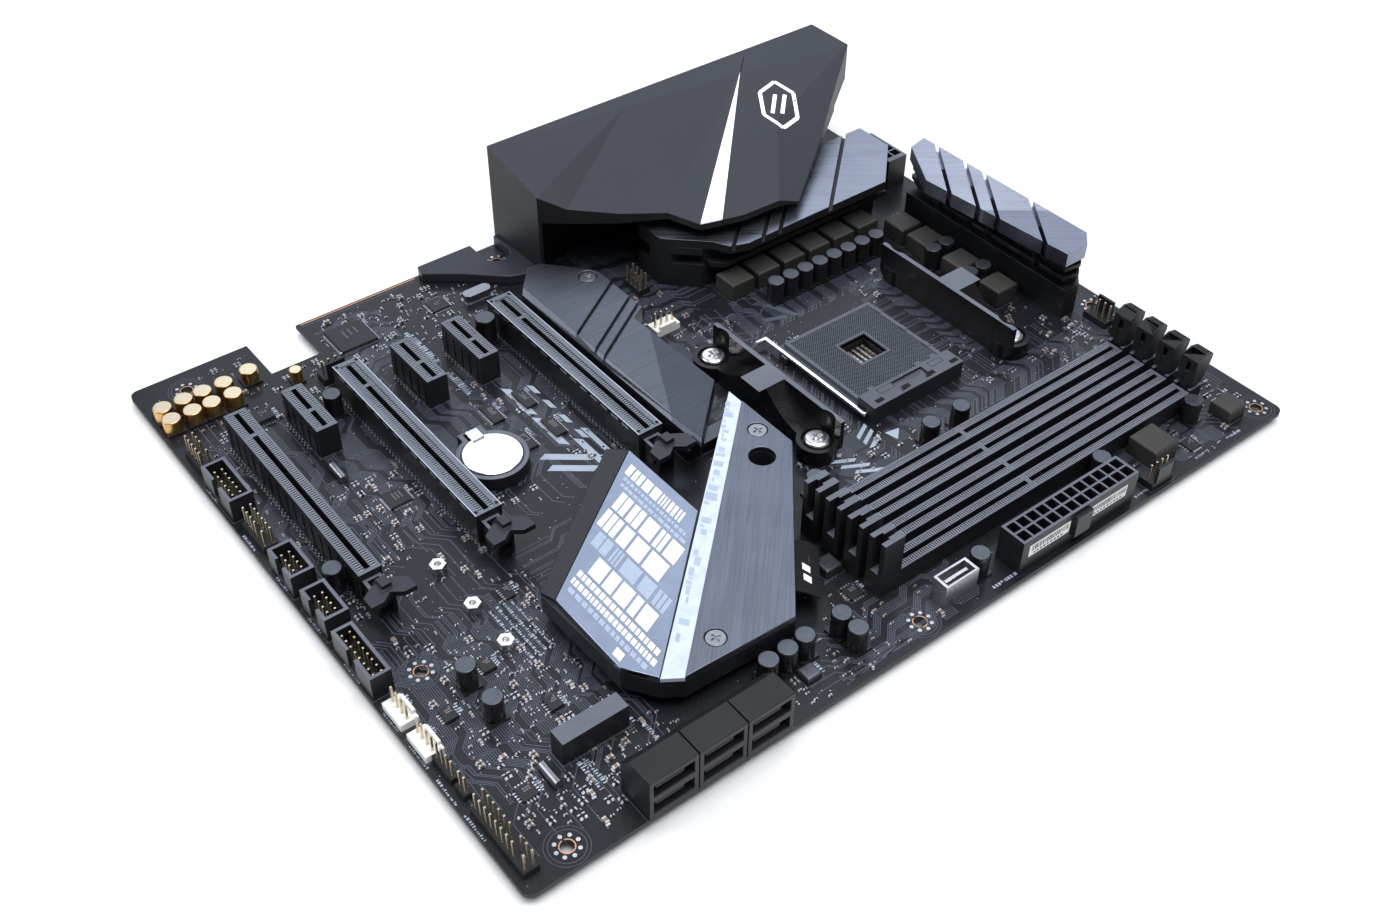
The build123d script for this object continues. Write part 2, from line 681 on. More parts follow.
def top_sink():
    plate_bottom = TOP_SINK_TOP - TOP_SINK_PLATE
    end = 163.2
    back = 296.0
    plate = prism(
        ((78.5, 286.8), (98.8, 274.8), (end, 280.4), (end, 290.5), (158.0, back), (76.6, 295.3)),
        plate_bottom,
        TOP_SINK_TOP,
    )
    base = prism(((82.0, 283.3), (end, 283.3), (end, 290.5), (158.0, back), (82.0, back)), 0, SINK_LEDGE)
    core_outline = ((84.0, 288.0), (160.0, 288.0), (160.0, 293.0), (158.0, 295.0), (84.0, 295.0))
    core = prism(core_outline, SINK_LEDGE, plate_bottom)
    body = plate + base + core
    fin = ((79.5, 288.0), (90.0, 282.6), (161.6, 282.6), (162.6, 290.0), (158.0, 295.2), (79.5, 295.2))
    for z in (SINK_LEDGE + 3.4, SINK_LEDGE + 7.4):
        body += prism(fin, z, z + SINK_FIN)
    body -= block(90.0, 155.0, 284.8, 292.0, -CUT, MOSFET_HEIGHT + PAD_THICKNESS)
    for groove_x in (77.5, 92.5, 102.5, 126.0):
        body -= top_sink_groove(groove_x)
    for x, y in TOP_SINK_SCREWS:
        body -= disc(x, y, -CUT, SINK_SCREW_DEPTH, SCREW_RADIUS + RUN_GAP)
    return body


def top_sink_groove(x):
    """Cutter for one slanting groove across the upper heatsink, kept clear of its core."""
    width = SINK_GROOVE * 1.6
    run = 39.0
    outline = ((x, 299.0), (x + width, 299.0), (x + width + run, 270.0), (x + run, 270.0))
    groove = prism(outline, SINK_LEDGE + 1.0, TOP_SINK_TOP + CUT)
    return groove - block(70.0, 170.0, 288.0, 296.5, 0, TOP_SINK_TOP - 2.6)


def mosfets():
    size = MOSFET_SIZE
    bodies = []
    for index in range(6):
        y = 204.0 + index * MOSFET_PITCH_REAR
        bodies.append(block(60.0, 60.0 + size - 1, y, y + size, 0, MOSFET_HEIGHT))
    for index in range(4):
        x = 92.0 + index * MOSFET_PITCH_TOP
        bodies.append(block(x, x + size, 286.0, 286.0 + size - 1, 0, MOSFET_HEIGHT))
    return bodies


def thermal_pads():
    top = MOSFET_HEIGHT + PAD_THICKNESS
    rear = block(58.0, 68.0, 202.0, 274.0, MOSFET_HEIGHT, top)
    upper = block(91.0, 154.0, 285.2, 291.6, MOSFET_HEIGHT, top)
    return [rear, upper]


def sink_screws():
    """Short screws up through the board into the power-stage heatsinks."""
    under = -BOARD_THICKNESS
    screws = []
    for x, y in REAR_SINK_SCREWS + TOP_SINK_SCREWS:
        shank = disc(x, y, under, SINK_SCREW_TIP, SCREW_RADIUS)
        head = disc(x, y, under - SINK_SCREW_HEAD_HEIGHT, under, SINK_SCREW_HEAD_RADIUS)
        screws.append(shank + head)
    return screws


def m2_sink():
    outline = (
        (36.4, 138.6), (47.0, 129.0), (148.6, 129.6), (127.0, 152.5), (83.6, 151.6),
        (80.0, 157.6), (52.9, 157.6), (36.4, 143.6),
    )
    x, y = M2_SCREW
    body = prism(outline, M2_SINK_BOTTOM, M2_SINK_TOP)
    low_edge = body.edges().filter_by(Axis.Z, reverse=True).group_by(Axis.Y)[0].sort_by(Axis.Z)[-1]
    body = chamfer(low_edge, 1.8)
    for start in (62.0, 73.0, 78.0):
        body -= m2_groove(start)
    body += disc(x, y, 0, M2_SINK_BOTTOM, FLAT_HEAD_RADIUS + 0.2)
    body += block(118.0, 124.0, 146.0, 151.0, 0, M2_SINK_BOTTOM)
    body -= disc(x, y, M2_SINK_TOP - FLAT_SEAT_DEPTH, M2_SINK_TOP + CUT, FLAT_HEAD_RADIUS + FIT_GAP)
    body -= disc(x, y, -CUT, M2_SINK_TOP, SCREW_RADIUS + RUN_GAP)
    return body


def m2_groove(x):
    """Cutter for one slanting groove in the storage module's heatsink."""
    width = SINK_GROOVE * 0.8
    run = 21.8
    low = x + run - 1.2
    high = x - 2.4
    outline = ((high, 160.0), (high + width, 160.0), (low, 126.0), (low - width, 126.0))
    return prism(outline, M2_SINK_TOP - 1.6, M2_SINK_TOP + CUT)


def flat_screw(x, y, plate_top):
    seat = plate_top - FLAT_SEAT_DEPTH
    head = disc(x, y, seat, seat + FLAT_HEAD_HEIGHT, FLAT_HEAD_RADIUS)
    head -= cross_recess(x, y, 1.6, 0.7, seat + 0.4, seat + 2)
    return head + disc(x, y, FLAT_SCREW_TIP, seat, SCREW_RADIUS)


def chipset_base():
    seat = CHIPSET_TOP - CHIPSET_PLATE
    half = CHIPSET_CHIP_SIZE / 2 + 2
    x, y = CHIPSET_CENTRE
    outline = (
        STRIP_TOP_LEFT, (171.8, 110.3), (136.9, 109.8), (132.0, 104.6), (170.4, 54.2), (207.0, 55.6),
        STRIP_LOW_LEFT, STRIP_LOW_RIGHT, (222.1, 105.7), (165.7, 153.0),
    )
    body = prism(outline, CHIPSET_BOTTOM, seat)
    body += block(x - half, x + half, y - half, y + half, CHIPSET_CHIP_HEIGHT, CHIPSET_BOTTOM)
    body -= disc(HOLE_COLUMNS[1], HOLE_ROWS[1], -CUT, CHIPSET_TOP, CENTRE_HOLE_CLEARANCE)
    body += prism(((132.0, 104.6), (136.9, 109.8), (175.3, 55.8), (170.4, 54.2)), seat, CHIPSET_TOP - 0.6)
    for screw_x, screw_y in CHIPSET_SCREWS:
        body += disc(screw_x, screw_y, 0, CHIPSET_BOTTOM, FLAT_HEAD_RADIUS + 0.4)
        body -= disc(screw_x, screw_y, -CUT, CHIPSET_TOP, SCREW_RADIUS + RUN_GAP)
    return body


def chipset_plate():
    seat = CHIPSET_TOP - CHIPSET_PLATE
    body = prism((STRIP_TOP_RIGHT, STRIP_LOW_RIGHT, (222.1, 105.7), (165.7, 153.0)), seat, CHIPSET_TOP)
    body -= disc(HOLE_COLUMNS[1], HOLE_ROWS[1], 0, CHIPSET_TOP + CUT, CENTRE_HOLE_CLEARANCE)
    for x, y in CHIPSET_SCREWS:
        body -= disc(x, y, CHIPSET_TOP - FLAT_SEAT_DEPTH, CHIPSET_TOP + CUT, FLAT_HEAD_RADIUS + FIT_GAP)
        body -= disc(x, y, 0, CHIPSET_TOP, SCREW_RADIUS + RUN_GAP)
    return body


def chipset_strip():
    seat = CHIPSET_TOP - CHIPSET_PLATE
    corner = (STRIP_TOP_RIGHT[0] - 0.01, STRIP_TOP_RIGHT[1])
    return prism((STRIP_TOP_LEFT, STRIP_LOW_LEFT, STRIP_LOW_RIGHT, corner), seat, CHIPSET_TOP - 0.5)


def lower_cover_plate():
    outline = ((137.3, 109.8), (175.6, 55.8), (207.0, 55.6), (216.3, 62.1), (172.0, 110.1))
    return prism(outline, CHIPSET_TOP - CHIPSET_PLATE, CHIPSET_TOP - 0.2)


def plate_screws():
    """Flat-headed screws of the storage and chipset heatsinks."""
    places = [(M2_SCREW, M2_SINK_TOP)] + [(place, CHIPSET_TOP) for place in CHIPSET_SCREWS]
    return [flat_screw(x, y, top) for (x, y), top in places]


def chipset_chip():
    x, y = CHIPSET_CENTRE
    half = CHIPSET_CHIP_SIZE / 2
    carrier = block(x - half, x + half, y - half, y + half, 0, 1.0)
    return carrier + block(x - half / 2, x + half / 2, y - half / 2, y + half / 2, 1.0, CHIPSET_CHIP_HEIGHT)


# ---- rear connector cover ----
RIM_COUNT = 13


def cover_points(drop, setback):
    """Rim of the cover's top, counter-clockwise in plan, then its two inner ridge points."""
    edge = COVER_EDGE
    high = COVER_TOP
    rim = [
        (0.0, COVER_START, high),
        (COVER_REACH, COVER_START + 1.0, 35.0),
        (36.6, 156.6, 30.6),
        (47.8, 171.8, edge + 1.6),
        (55.7, 187.2, edge),
        (68.9, 192.1, edge),
        (71.2, 200.2, edge),
        (73.4, 208.3, edge),
        (74.0, 224.8, edge),
        (76.5, 232.0, edge - 2.0),
        (57.2, 257.6, edge + 1.0),
        (21.0, BOARD_LENGTH, high),
        (0.0, BOARD_LENGTH, high),
    ]
    inner = [(6.5, 204.5, high - 0.3), (12.4, 256.0, high - 0.6), (40.0, 252.0, 35.0)]
    moved = inset(rim, setback)
    shifted = [(moved[index][0], moved[index][1], rim[index][2] - drop) for index in range(len(rim))]
    return shifted + [(x, y, z - drop) for x, y, z in inner]


COVER_FACETS = (
    (0, 1, 13), (1, 2, 13), (2, 3, 13), (3, 4, 13), (4, 14, 13), (4, 5, 14), (5, 6, 14), (6, 7, 14),
    (7, 8, 14), (8, 15, 14), (8, 9, 15), (9, 10, 15), (10, 11, 15), (11, 14, 15), (11, 12, 14),
    (12, 13, 14), (12, 0, 13),
)


def io_cover():
    outer = faceted(cover_points(0, 0), RIM_COUNT, COVER_BOTTOM, COVER_FACETS)
    inner = faceted(cover_points(COVER_WALL, COVER_WALL), RIM_COUNT, -COVER_TOP, COVER_FACETS)
    start = COVER_START + COVER_WALL
    inside_end = BOARD_LENGTH - COVER_WALL
    body = outer - inner
    body -= block(-CUT, COVER_WALL + 0.5, start, inside_end, -CUT, COVER_TOP - COVER_WALL)
    back = 24.0
    front = 95.0
    mouth = (
        (COVER_REACH - 1.5, start), (front, start), (front, BOARD_LENGTH - 43.0), (back, BOARD_LENGTH - 5.0),
        (back, start + 10.5),
    )
    body -= prism(mouth, -CUT, 24.5)
    eps_gap = BOARD_LENGTH - EPS_TOP_MARGIN - ATX_POWER_WIDTH - 5.0
    body -= block(15.0, 80.0, eps_gap, BOARD_LENGTH + CUT, -CUT, POWER_HEIGHT + 14.0)
    body -= block(-CUT, 20.0, eps_gap + 2.5, BOARD_LENGTH + CUT, -CUT, 34.0)
    return body


def cover_strip():
    """Wedge-shaped lit strip on the cover's long ridge facet."""
    points = cover_points(0, 0)
    bottom = [Vector(*points[index]) for index in (5, 6, 14)]
    top = [point + Vector(0, 0, COVER_STRIP_THICKNESS) for point in bottom]
    faces = [Face(Wire.make_polygon(bottom, close=True)), Face(Wire.make_polygon(top, close=True))]
    for index in range(3):
        after = (index + 1) % 3
        wall = [bottom[index], bottom[after], top[after], top[index]]
        faces.append(Face(Wire.make_polygon(wall, close=True)))
    return Solid(Shell(faces))


def skirt():
    """Low guard that carries the cover down past the middle rear mounting hole."""
    x = HOLE_COLUMNS[0]
    y = HOLE_ROWS[1]
    radius = SKIRT_HOLE_RADIUS
    end = COVER_START + 1.0
    outline = ((0.0, 113.0), (5.0, 112.0), (14.0, 124.0), (26.0, 137.0), (30.0, end), (0.0, end))
    body = prism(outline, 0, SKIRT_HEIGHT)
    body -= disc(x, y, -CUT, SKIRT_HEIGHT + CUT, radius)
    body -= block(-CUT, x, y - radius, y + radius, -CUT, SKIRT_HEIGHT + CUT)
    return body


# ---- rear connectors ----
PORTS = {
    "audio_jacks": (150.8, 176.8, 32.0, 18.0),
    "usb_c_port": (179.0, 193.5, 16.0, 14.0),
    "lan_usb_port": (196.5, 213.5, 29.5, 18.0),
    "usb_a_ports": (216.5, 248.5, 16.0, 17.0),
    "display_ports": (252.0, 269.0, 15.5, 15.0),
    "ps2_usb_port": (272.0, 286.5, 31.0, 17.0),
}


def port_middle(name):
    return (PORTS[name][0] + PORTS[name][1]) / 2


def port_shell(name):
    y0, y1, height, depth = PORTS[name]
    return block(-PORT_OVERHANG, depth, y0, y1, 0, height)


def usb_a_socket(y, z):
    """Horizontal USB type-A cavity with its tongue, opening to the rear."""
    half = USB_A_WIDTH / 2
    rise = USB_A_HEIGHT / 2
    depth = 10.0
    cavity = block(-PORT_OVERHANG - CUT, depth, y - half, y + half, z - rise, z + rise)
    tongue = block(-PORT_OVERHANG + 1.0, depth, y - half + 1, y + half - 1, z + 0.1, z + 1.9)
    return cavity - tongue


def audio_jacks():
    """Five round jacks and one square optical outlet in two columns."""
    y0 = PORTS["audio_jacks"][0]
    face = -PORT_OVERHANG
    collar = 4.0
    body = port_shell("audio_jacks")
    for column in range(2):
        for row in range(3):
            y = y0 + 6.5 + column * 13.0
            z = 5.5 + row * 11.0
            if column == 1 and row == 2:
                body -= block(face - CUT, 8.0, y - 3.6, y + 3.6, z - 3.4, z + 3.4)
            else:
                body += rod_x(face - 1.2, face, y, z, collar)
                body -= rod_x(face - 2, 13.0, y, z, 1.8)
    return body


def usb_c_port():
    y = port_middle("usb_c_port")
    body = port_shell("usb_c_port")
    body -= usb_a_socket(y, 11.5)
    slot = block(-PORT_OVERHANG - CUT, 7.0, y - 4.2, y + 4.2, 3.0, 6.0)
    tongue = block(-PORT_OVERHANG + 0.8, 7.0, y - 3.2, y + 3.2, 4.15, 4.85)
    return body - (slot - tongue)


def lan_usb_port():
    y = port_middle("lan_usb_port")
    body = port_shell("lan_usb_port")
    body -= block(-PORT_OVERHANG - CUT, 12.0, y - 5.9, y + 5.9, 17.5, 25.5)
    body -= block(-PORT_OVERHANG - CUT, 6.0, y - 3.2, y + 3.2, 25.5, 27.5)
    for z in USB_A_LEVELS:
        body -= usb_a_socket(y, z)
    return body


def usb_a_ports():
    y0, y1 = PORTS["usb_a_ports"][:2]
    body = port_shell("usb_a_ports")
    for y in (y0 + 8.0, y1 - 8.0):
        for z in USB_A_LEVELS:
            body -= usb_a_socket(y, z)
    return body


def hdmi_port():
    y0, y1, height, depth = PORTS["display_ports"]
    y = port_middle("display_ports")
    cavity = side_prism_x(
        ((y - 5.0, 1.0), (y + 5.0, 1.0), (y + 7.2, 3.0), (y + 7.2, 5.8), (y - 7.2, 5.8), (y - 7.2, 3.0)),
        -PORT_OVERHANG - CUT,
        10.0,
    )
    tongue = block(-PORT_OVERHANG + 1.2, 10.0, y - 5.2, y + 5.2, 3.0, 4.2)
    return block(-PORT_OVERHANG, depth, y0, y1, 0, height / 2 - 0.3) - (cavity - tongue)


def displayport():
    y0, y1, height, depth = PORTS["display_ports"]
    y = port_middle("display_ports")
    cavity = side_prism_x(
        ((y - 8.0, 8.8), (y + 5.6, 8.8), (y + 8.0, 10.6), (y + 8.0, 14.0), (y - 8.0, 14.0)),
        -PORT_OVERHANG - CUT,
        10.0,
    )
    tongue = block(-PORT_OVERHANG + 1.2, 10.0, y - 5.6, y + 5.6, 11.0, 12.2)
    return block(-PORT_OVERHANG, depth, y0, y1, height / 2 - 0.3, height) - (cavity - tongue)


def ps2_usb_port():
    y = port_middle("ps2_usb_port")
    body = port_shell("ps2_usb_port")
    key = block(-PORT_OVERHANG - 0.4, 9.0, y - 1.2, y + 1.2, 22.5, 23.7)
    body -= rod_x(-PORT_OVERHANG - CUT, 9.0, y, 24.0, 4.6) - key
    for z in USB_A_LEVELS:
        body -= usb_a_socket(y, z)
    return body


def io_shield():
    body = block(-SHIELD_THICKNESS, 0, COVER_START, BOARD_LENGTH, -BOARD_THICKNESS, COVER_TOP)
    for y0, y1, height, depth in PORTS.values():
        body -= block(-SHIELD_THICKNESS - 1, 1, y0 - SHIELD_GAP, y1 + SHIELD_GAP, -0.4, height + SHIELD_GAP)
    return body


# ---- power sockets ----
def spread(centre, count, pitch):
    """Values at an even pitch about a centre."""
    return [centre + (index - (count - 1) / 2) * pitch for index in range(count)]


def power_socket(x0, x1, y0, y1, cells_x, cells_y):
    """Upright latch-type power socket with one deep cell and pin for each way."""
    body = block(x0, x1, y0, y1, 0, POWER_HEIGHT)
    half = POWER_CELL / 2
    thin = 0.6
    columns = spread((x0 + x1) / 2, cells_x, POWER_PITCH)
    rows = spread((y0 + y1) / 2, cells_y, POWER_PITCH)
    for x, y in grid(columns, rows):
        cell = block(x - half, x + half, y - half, y + half, 3.0, POWER_HEIGHT + CUT)
        contact = block(x - thin, x + thin, y - thin, y + thin, 2.0, POWER_HEIGHT - 3.0)
        body -= cell - contact
    return body


def atx_power_limits():
    x1 = BOARD_WIDTH - 2.1
    y0 = 177.6
    return x1 - ATX_POWER_WIDTH, x1, y0, y0 + ATX_POWER_LENGTH


def atx_power():
    x0, x1, y0, y1 = atx_power_limits()
    body = power_socket(x0, x1, y0, y1, 2, 12)
    middle = (y0 + y1) / 2
    body += block(x1, x1 + 1.6, middle - 3.5, middle + 3.5, 3.0, POWER_HEIGHT - 1.5)
    return body


def eps_power():
    x1 = EPS_POWER_FRONT
    y1 = BOARD_LENGTH - EPS_TOP_MARGIN
    middle = x1 - EPS_POWER_LENGTH / 2
    body = power_socket(x1 - EPS_POWER_LENGTH, x1, y1 - ATX_POWER_WIDTH, y1, 4, 2)
    body += block(middle - 3.0, middle + 3.0, y1, y1 + 1.4, 3.0, POWER_HEIGHT - 1.5)
    return body


# ---- storage ----
def sata_ports():
    """Three stacked pairs of storage ports, opening at the front edge."""
    front = BOARD_WIDTH + SATA_OVERHANG
    back = front - SATA_WIDTH
    depth = 7.5
    bodies = []
    for index in range(3):
        y0 = SATA_START + index * SATA_PITCH
        middle = y0 + SATA_LENGTH / 2
        outline = (
            (back - SATA_STEP, 0), (front, 0), (front, SATA_HEIGHT), (back, SATA_HEIGHT),
            (back - SATA_STEP, SATA_HEIGHT - 4.5),
        )
        body = side_prism_y(outline, y0, y0 + SATA_LENGTH)
        for z in (4.4, 11.4):
            mouth = block(front - depth, front + CUT, middle - 6.6, middle + 6.6, z - 2.3, z + 2.3)
            tongue = block(front - depth, front - 1.0, middle - 5.4, middle + 4.0, z - 0.6, z + 0.6)
            body -= mouth - tongue
        bodies.append(body)
    return bodies


def m2_socket(x, y, face, height):
    """Card-edge socket for a storage module; face is the X direction it opens to."""
    body = block(x - 3.0, x + 3.0, y - 10.8, y + 10.8, 0, height)
    slot = sorted((x + face * 4.0, x - face * 1.0))
    body -= block(slot[0], slot[1], y - 9.9, y + 9.9, height * 0.55 - 0.7, height * 0.55 + 0.7)
    return body


def m2_standoffs():
    y = 40.6
    nuts = []
    for x in (134.6, 154.2, 172.0):
        nut = extrude(Pos(x, y, 0) * RegularPolygon(2.7, 6), 3.0)
        nuts.append(nut - disc(x, y, 0.8, 4, 1.0))
    return nuts


# ---- headers ----
def pin(x, y, top):
    half = PIN_SIZE / 2
    return block(x - half, x + half, y - half, y + half, 0, top)


def pin_block(x0, y0, columns, rows, missing=()):
    """Bare pin header: a low strip with one square pin for each way."""
    width = (columns - 1) * HEADER_PITCH
    depth = (rows - 1) * HEADER_PITCH
    body = block(x0 - 1.2, x0 + width + 1.2, y0 - 1.2, y0 + depth + 1.2, 0, 2.5)
    for column in range(columns):
        for row in range(rows):
            if (column, row) not in missing:
                body += pin(x0 + column * HEADER_PITCH, y0 + row * HEADER_PITCH, PIN_HEIGHT)
    return body


def box_header(x0, x1, y0, y1, columns):
    """Shrouded two-row header with its polarising gap."""
    wall = BOX_HEADER_WALL
    body = block(x0, x1, y0, y1, 0, BOX_HEADER_HEIGHT)
    body -= block(x0 + wall, x1 - wall, y0 + wall, y1 - wall, 1.8, BOX_HEADER_HEIGHT + 1)
    middle_x = (x0 + x1) / 2
    middle_y = (y0 + y1) / 2
    body -= block(middle_x - 2.2, middle_x + 2.2, y0 - 1, y0 + wall + 0.1, 1.8, BOX_HEADER_HEIGHT + 1)
    for x, y in grid(spread(middle_x, columns, HEADER_PITCH), spread(middle_y, 2, HEADER_PITCH)):
        body += pin(x, y, BOX_HEADER_HEIGHT - 1.2)
    return body


def box_headers():
    return [
        box_header(58.2, 78.4, EDGE_HEADER_BOTTOM, EDGE_HEADER_TOP, 6),
        box_header(103.7, 118.7, EDGE_HEADER_BOTTOM, EDGE_HEADER_TOP, 4),
        box_header(124.3, 139.4, EDGE_HEADER_BOTTOM, EDGE_HEADER_TOP, 4),
    ]


def usb3_header():
    return box_header(143.9, 166.2, 0.8, 7.6, 8)


def pin_headers():
    front_x = BOARD_WIDTH - 29.0
    return [
        pin_block(41.5, 3.6, 5, 2, missing=((3, 1),)),
        pin_block(83.0, 3.6, 6, 2, missing=((4, 0),)),
        pin_block(front_x, 3.6, 10, 2, missing=((6, 1), (8, 0))),
        pin_block(195.0, 4.2, 4, 1),
        pin_block(206.5, 4.2, 2, 1),
        pin_block(52.0, 171.5, 4, 2),
    ]


def fan_header(x, y, along_x, wall_top=PIN_HEIGHT):
    """Four-way header with its back wall."""
    half_length = 2 * HEADER_PITCH
    half_depth = 2.9
    base = 2.6
    wall = 1.0
    turn = 0 if along_x else 90
    body = block(-half_length, half_length, -half_depth, half_depth, 0, base)
    back_y = half_depth - wall if along_x else -half_depth
    body += block(-3.5, 3.5, back_y, back_y + wall, base, wall_top)
    for shift in spread(0, 4, HEADER_PITCH):
        body += pin(shift, 0, PIN_HEIGHT)
    return Pos(x, y, 0) * Rot(0, 0, turn) * body


def fan_headers():
    return [
        fan_header(172.5, BOARD_LENGTH - 11.4, True),
        fan_header(184.5, BOARD_LENGTH - 11.4, True),
        fan_header(BOARD_WIDTH - 4.2, 243.0, False),
        fan_header(34.0, 60.0, False),
    ]


def rgb_headers():
    low_wall = 4.0
    return [
        fan_header(175.4, 4.2, True, low_wall),
        fan_header(188.7, 4.2, True, low_wall),
        fan_header(81.5, 165.8, False, low_wall),
    ]


def front_usb_c():
    x1 = BOARD_WIDTH - 5.6
    x0 = x1 - 6.0
    body = block(x0, x1, 149.9, 163.1, 0, 9.0)
    cavity = block(x0 + 0.8, x1 - 0.8, 150.9, 162.1, 2.0, 10.0)
    tongue = block((x0 + x1) / 2 - 0.6, (x0 + x1) / 2 + 0.6, 151.9, 161.1, 1.5, 8.0)
    return body - (cavity - tongue)


# ---- coin cell ----
def battery_holder():
    """Round seat with a pocket at its rear for the spring contact."""
    arm = COIN_X - COIN_RADIUS - 4.5
    half = 4.5
    over = HOLDER_HEIGHT + CUT
    body = disc(COIN_X, COIN_Y, 0, HOLDER_HEIGHT, COIN_RADIUS + HOLDER_WALL)
    body += block(arm, COIN_X - COIN_RADIUS + 1, COIN_Y - half, COIN_Y + half, 0, HOLDER_HEIGHT)
    body -= disc(COIN_X, COIN_Y, COIN_SEAT, over, COIN_RADIUS + FIT_GAP / 2)
    body -= block(arm + 0.9, COIN_X - COIN_RADIUS + 2, COIN_Y - 2.6, COIN_Y + 2.6, COIN_SEAT, over)
    return body


def coin_cell():
    cell = disc(COIN_X, COIN_Y, COIN_SEAT, COIN_SEAT + COIN_THICKNESS, COIN_RADIUS)
    return fillet(cell.edges().group_by(Axis.Z)[-1], 0.5)


def battery_clip():
    """Spring contact that holds the cell's edge."""
    top = COIN_SEAT + COIN_THICKNESS
    back = COIN_X - COIN_RADIUS - 3.2
    half = 2.2
    strap = 0.6
    body = block(back, back + strap, COIN_Y - half, COIN_Y + half, COIN_SEAT, top + strap)
    body += block(back, back + 5.0, COIN_Y - half, COIN_Y + half, top, top + strap)
    return body


# ---- discrete parts ----
def square_choke(x, y, size, height):
    body = block(x, x + size, y, y + size, 0, height)
    return chamfer(body.edges().group_by(Axis.Z)[-1], 0.5)


def chokes():
    bodies = [square_choke(73.7, 195.6 + index * 12.3, CHOKE_SIZE, CHOKE_HEIGHT) for index in range(6)]
    bodies += [square_choke(x, 269.1, CHOKE_SIZE, CHOKE_HEIGHT) for x in (85.3, 97.5, 116.2, 135.1)]
    bodies.append(square_choke(BOARD_WIDTH - 18.9, 246.0, CHOKE_SIZE + 1.2, CHOKE_HEIGHT))
    bodies.append(square_choke(BOARD_WIDTH - 15.2, BOARD_LENGTH - 21.2, CHOKE_SIZE - 1.8, CHOKE_HEIGHT - 2))
    return bodies


def capacitor(x, y, radius, height):
    body = disc(x, y, 0.8, height, radius)
    body = fillet(body.edges().group_by(Axis.Z)[-1], 0.4)
    foot = radius + 0.05
    return body + block(x - foot, x + foot, y - foot, y + foot, 0, 0.8)


BLACK_CAPS = (
    (51.6, 50.6), (177.5, 24.3), (191.4, 24.2), (226.4, 119.6), (233.4, 119.6), (226.3, 105.8),
    (226.9, 98.8), (226.9, 91.8), (182.6, 212.0), (182.5, 198.3), (233.9, 168.2), (178.9, 151.5),
    (111.9, 275.7), (111.9, 268.8), (130.9, 275.7), (130.9, 268.8),
)


def slot_side_capacitors():
    """Capacitors between the lowest slot and the edge headers, and close to the last memory slot."""
    below_slot = (pcie_y(0) - PCIE_WIDTH / 2 + EDGE_HEADER_TOP) / 2
    beside_slot = dimm_x(DIMM_COUNT - 1) + DIMM_WIDTH / 2 + CAP_RADIUS + CAP_SLOT_GAP
    places = ((122.3, below_slot), (beside_slot, 229.5), (beside_slot, 275.0))
    return [capacitor(x, y, CAP_RADIUS, CAP_HEIGHT) for x, y in places]


def black_capacitors():
    bodies = [capacitor(x, y, CAP_RADIUS, CAP_HEIGHT) for x, y in BLACK_CAPS] + slot_side_capacitors()
    for index in range(8):
        bodies.append(capacitor(92.4, 208.6 + index * 7.03, CAP_RADIUS, CAP_HEIGHT))
    bodies.append(capacitor(48.8, 112.2, 3.6, CAP_HEIGHT + 1.5))
    return bodies


def gold_capacitors():
    bodies = []
    for y in (26.4, 18.8, 12.0, 4.6):
        for x in (19.9, 27.0):
            bodies.append(capacitor(x, y, CAP_RADIUS, GOLD_CAP_HEIGHT))
    bodies.append(capacitor(18.7, 36.0, CAP_RADIUS, GOLD_CAP_HEIGHT))
    bodies.append(capacitor(28.6, 48.6, 2.2, GOLD_CAP_HEIGHT))
    return bodies


CHIPS = (
    (18.3, 75.0, 14.0, 14.0, 1.4), (20.5, 109.0, 7.0, 7.0, 0.9), (100.0, 46.3, 7.4, 7.4, 1.2),
    (154.5, 52.0, 6.0, 3.0, 1.0), (84.0, 104.7, 10.0, 4.2, 1.2), (101.8, 104.7, 10.0, 4.2, 1.2),
    (84.0, 91.9, 10.0, 4.2, 1.2), (101.8, 93.4, 10.0, 4.2, 1.2), (175.0, 32.0, 5.0, 4.0, 1.4),
    (197.6, 39.4, 5.0, 4.0, 1.4), (183.4, 14.4, 5.0, 4.0, 1.4), (217.5, 17.4, 5.0, 5.0, 0.9),
    (39.5, 30.5, 6.0, 6.6, 2.2), (236.0, 265.5, 5.0, 5.0, 0.9), (98.0, 171.0, 4.0, 4.0, 0.9),
    (217.0, 133.0, 5.0, 5.0, 0.9),
)


def ic_packages():
    return [block(x - a / 2, x + a / 2, y - b / 2, y + b / 2, 0, h) for x, y, a, b, h in CHIPS]


def small_inductors():
    return [square_choke(202.1, 130.4, 6.4, 3.2), square_choke(230.4, 99.4, 5.2, 2.4)]


def lying_crystal(x, y):
    """Small round can on its side."""
    return rod_x(x - 4.0, x + 4.0, y, 1.5, 1.5) + block(x - 2.5, x + 2.5, y - 0.6, y + 0.6, 0, 0.6)


def flat_crystal(x, y):
    """Low can with round ends on a thin base."""
    radius = 2.25
    reach = 3.25
    can = block(x - radius, x + radius, y - reach, y + reach, 0.4, 3.5)
    can += disc(x, y - reach, 0.4, 3.5, radius) + disc(x, y + reach, 0.4, 3.5, radius)
    return can + block(x - 2.6, x + 2.6, y - 5.7, y + 5.7, 0, 0.4)


def crystals():
    return [flat_crystal(25.2, 123.0), lying_crystal(79.5, 37.0), lying_crystal(217.5, 25.0)]


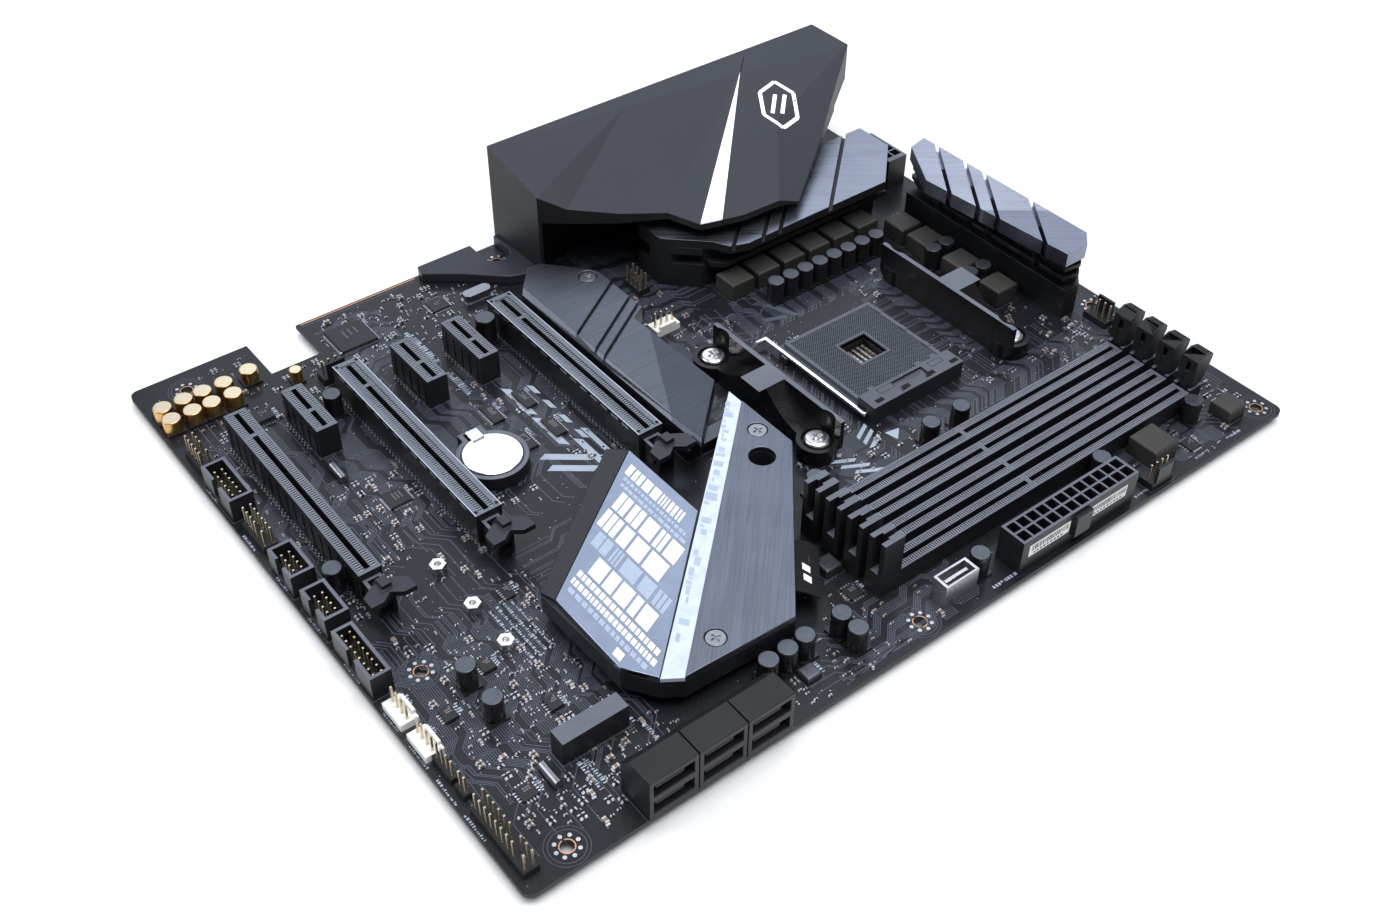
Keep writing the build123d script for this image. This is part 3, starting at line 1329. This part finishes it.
def build():
    save("pcb", pcb())
    save("io_cover", io_cover())
    save("io_cover_light_strip", cover_strip())
    save("io_cover_skirt", skirt())
    save("io_shield", io_shield())
    save("audio_jacks", audio_jacks())
    save("usb_c_port", usb_c_port())
    save("lan_usb_port", lan_usb_port())
    save("usb_a_ports", usb_a_ports())
    save("display_ports", hdmi_port(), displayport())
    save("ps2_usb_port", ps2_usb_port())
    save("eps_power_socket", eps_power())
    save("atx_power_socket", atx_power())
    save("vrm_heatsink_rear", rear_sink())
    save("vrm_heatsink_top", top_sink())
    save("vrm_thermal_pads", *thermal_pads())
    save("mosfets", *mosfets())
    save("heatsink_screws", *sink_screws())
    save("chokes", *chokes())
    save("black_capacitors", *black_capacitors())
    save("gold_capacitors", *gold_capacitors())
    save("cpu_socket_base", socket_base())
    save("cpu_socket_cover", socket_cover())
    save("cpu_socket_lever", socket_lever())
    save("cooler_bracket_lower", bracket(-1))
    save("cooler_bracket_upper", bracket(1))
    save("cooler_bracket_screws", *bracket_screws())
    save("cpu_backplate", backplate())
    save("dimm_slots", *[dimm_slot(index) for index in range(DIMM_COUNT)])
    for index in range(DIMM_COUNT):
        save(f"dimm_latch_{index + 1}", dimm_latch(index))
    save("pcie_x16_slots", *[pcie_x16(row) for row in PCIE_X16_ROWS])
    save("pcie_armour", *[pcie_armour(row) for row in PCIE_ARMOUR_ROWS])
    for number, row in enumerate(PCIE_X16_ROWS):
        save(f"pcie_latch_{number + 1}", pcie_latch(row))
    save("pcie_x1_slots", *[pcie_body(row, PCIE_X1_LENGTH) for row in PCIE_X1_ROWS])
    save("m2_heatsink", m2_sink())
    save("m2_sockets", m2_socket(213.2, 41.0, -1, 8.5), m2_socket(139.0, 140.5, -1, 4.2))
    save("m2_standoffs", *m2_standoffs())
    save("chipset_heatsink", chipset_base())
    save("chipset_cover_plate", chipset_plate())
    save("chipset_light_strip", chipset_strip())
    save("lower_cover_plate", lower_cover_plate())
    save("cover_screws", *plate_screws())
    save("chipset_chip", chipset_chip())
    save("sata_ports", *sata_ports())
    save("shrouded_headers", usb3_header(), *box_headers())
    save("pin_headers", *pin_headers())
    save("fan_headers", *fan_headers())
    save("rgb_headers", *rgb_headers())
    save("front_usb_c_header", front_usb_c())
    save("battery_holder", battery_holder())
    save("coin_cell", coin_cell())
    save("battery_clip", battery_clip())
    save("ic_packages", *ic_packages())
    save("small_inductors", *small_inductors())
    save("crystals", *crystals())


os.makedirs("parts", exist_ok=True)
build()
